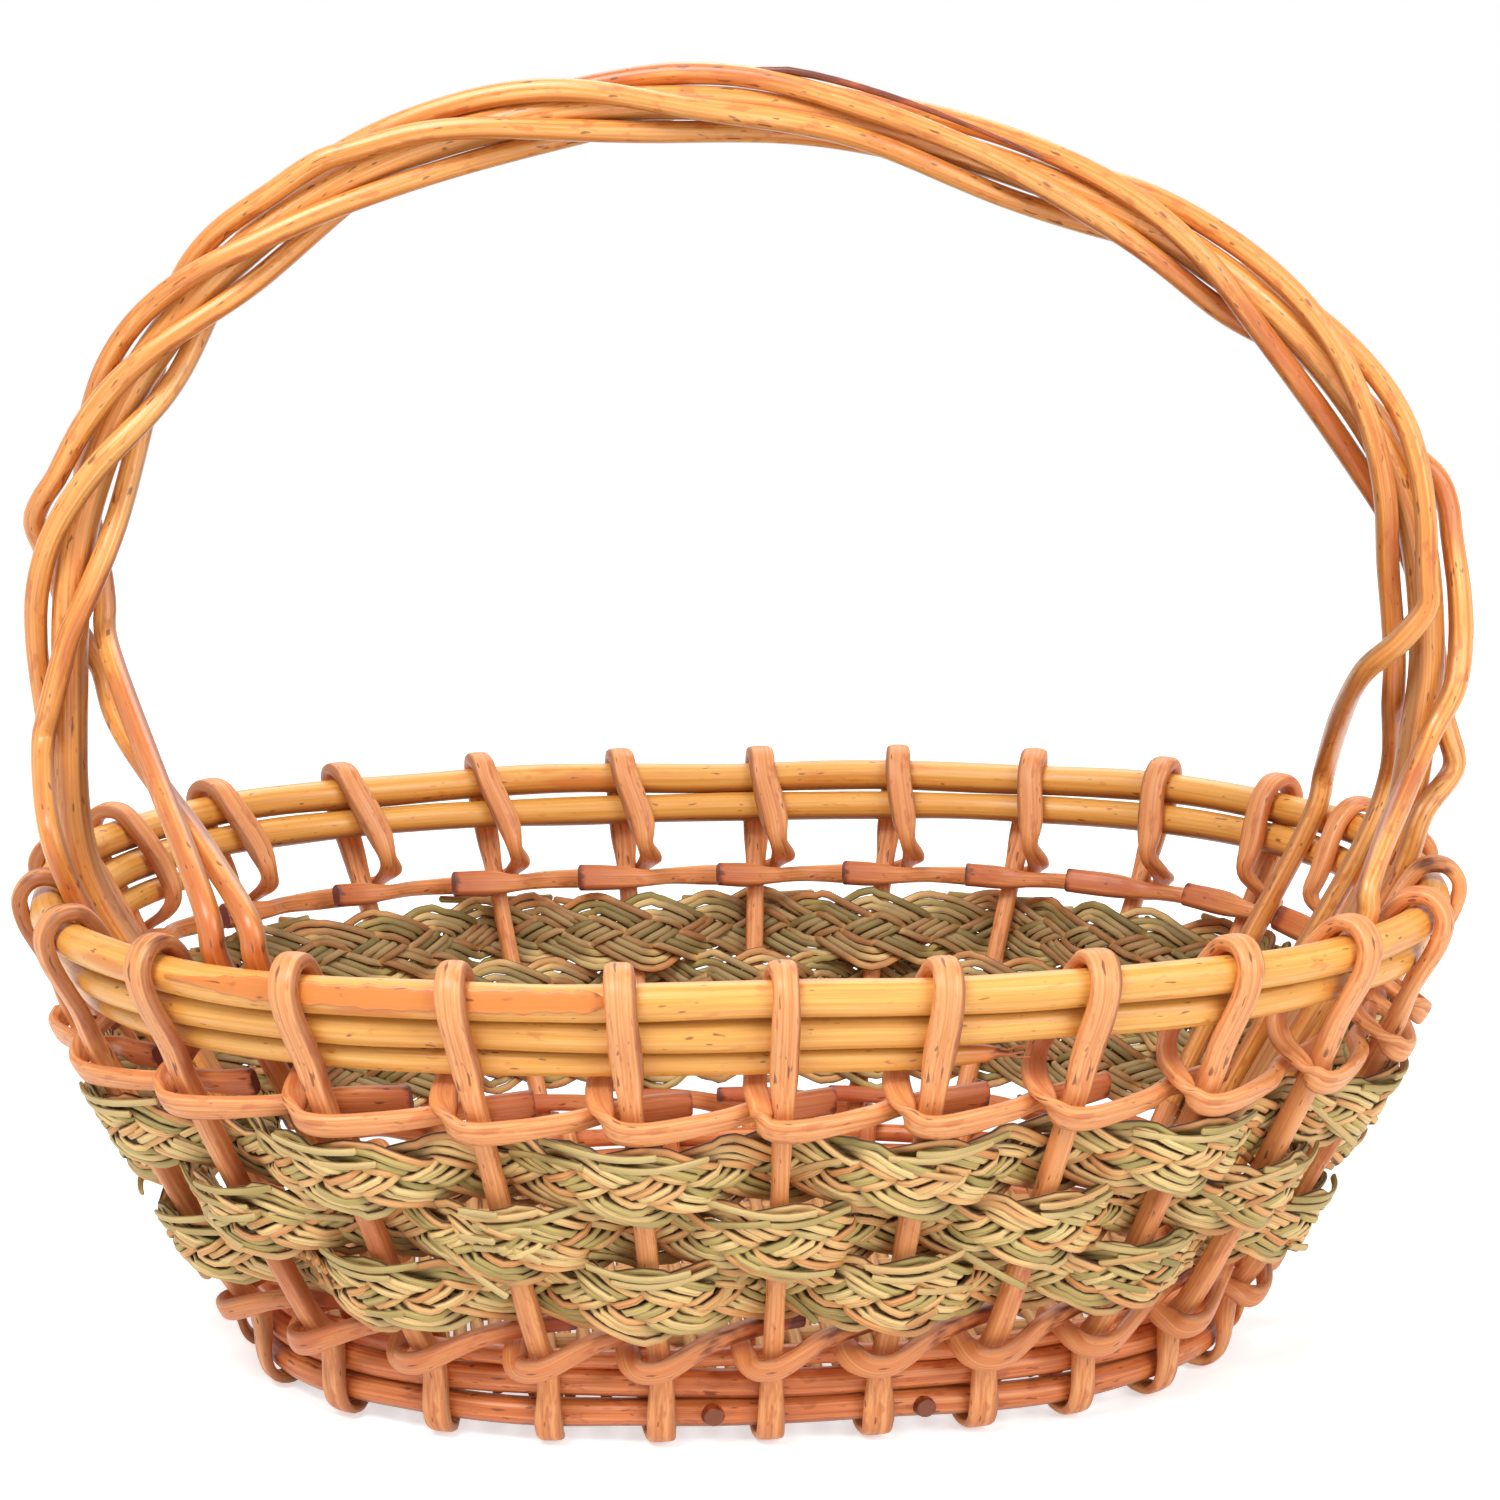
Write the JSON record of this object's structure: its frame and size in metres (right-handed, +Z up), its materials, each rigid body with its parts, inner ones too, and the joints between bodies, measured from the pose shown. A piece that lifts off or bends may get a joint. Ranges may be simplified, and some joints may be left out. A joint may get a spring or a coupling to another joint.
{
  "type": "flower basket",
  "caption": "Oval willow flower basket with wrapped uprights, three plaited rows, stacked hoops and a fixed twisted bow handle.",
  "frame": {"origin": "on the surface the basket stands on, under the middle of its bounding box", "axes": "+X along the oval's length, towards the right foot of the handle; +Y across it, away from the viewer; +Z up"},
  "size_m": [0.4205, 0.3044, 0.3717],
  "materials": {
    "rim_willow": "satin varnish",
    "base_willow": "satin varnish",
    "upright_willow": "satin",
    "plait_rush": "satin",
    "handle_willow": "satin varnish",
    "floor_willow": "matte"
  },
  "bodies": {
    "root": {"rim_hoop_upper": "rim_willow", "rim_hoop_lower": "rim_willow", "rim_filler_rod": "rim_willow", "base_hoop_bottom": "base_willow", "base_hoop_middle": "base_willow", "base_hoop_top": "base_willow", "upright_01": "upright_willow", "upright_02": "upright_willow", "upright_03": "upright_willow", "upright_04": "upright_willow", "upright_05": "upright_willow", "upright_06": "upright_willow", "upright_07": "upright_willow", "upright_08": "upright_willow", "upright_09": "upright_willow", "upright_10": "upright_willow", "upright_11": "upright_willow", "upright_12": "upright_willow", "upright_13": "upright_willow", "upright_14": "upright_willow", "upright_15": "upright_willow", "upright_16": "upright_willow", "upright_17": "upright_willow", "upright_18": "upright_willow", "upright_19": "upright_willow", "upright_20": "upright_willow", "upright_21": "upright_willow", "upright_22": "upright_willow", "upright_23": "upright_willow", "upright_24": "upright_willow", "upright_25": "upright_willow", "upright_26": "upright_willow", "plait_row_lower": "plait_rush", "plait_row_middle": "plait_rush", "plait_row_upper": "plait_rush", "handle_core": "handle_willow", "handle_strand_1": "handle_willow", "handle_strand_2": "handle_willow", "handle_strand_3": "handle_willow", "handle_strand_4": "handle_willow", "floor_stick_1": "floor_willow", "floor_stick_2": "floor_willow", "floor_stick_3": "floor_willow", "floor_stick_4": "floor_willow", "floor_stick_5": "floor_willow", "floor_weaver": "floor_willow"}
  },
  "joints": []
}
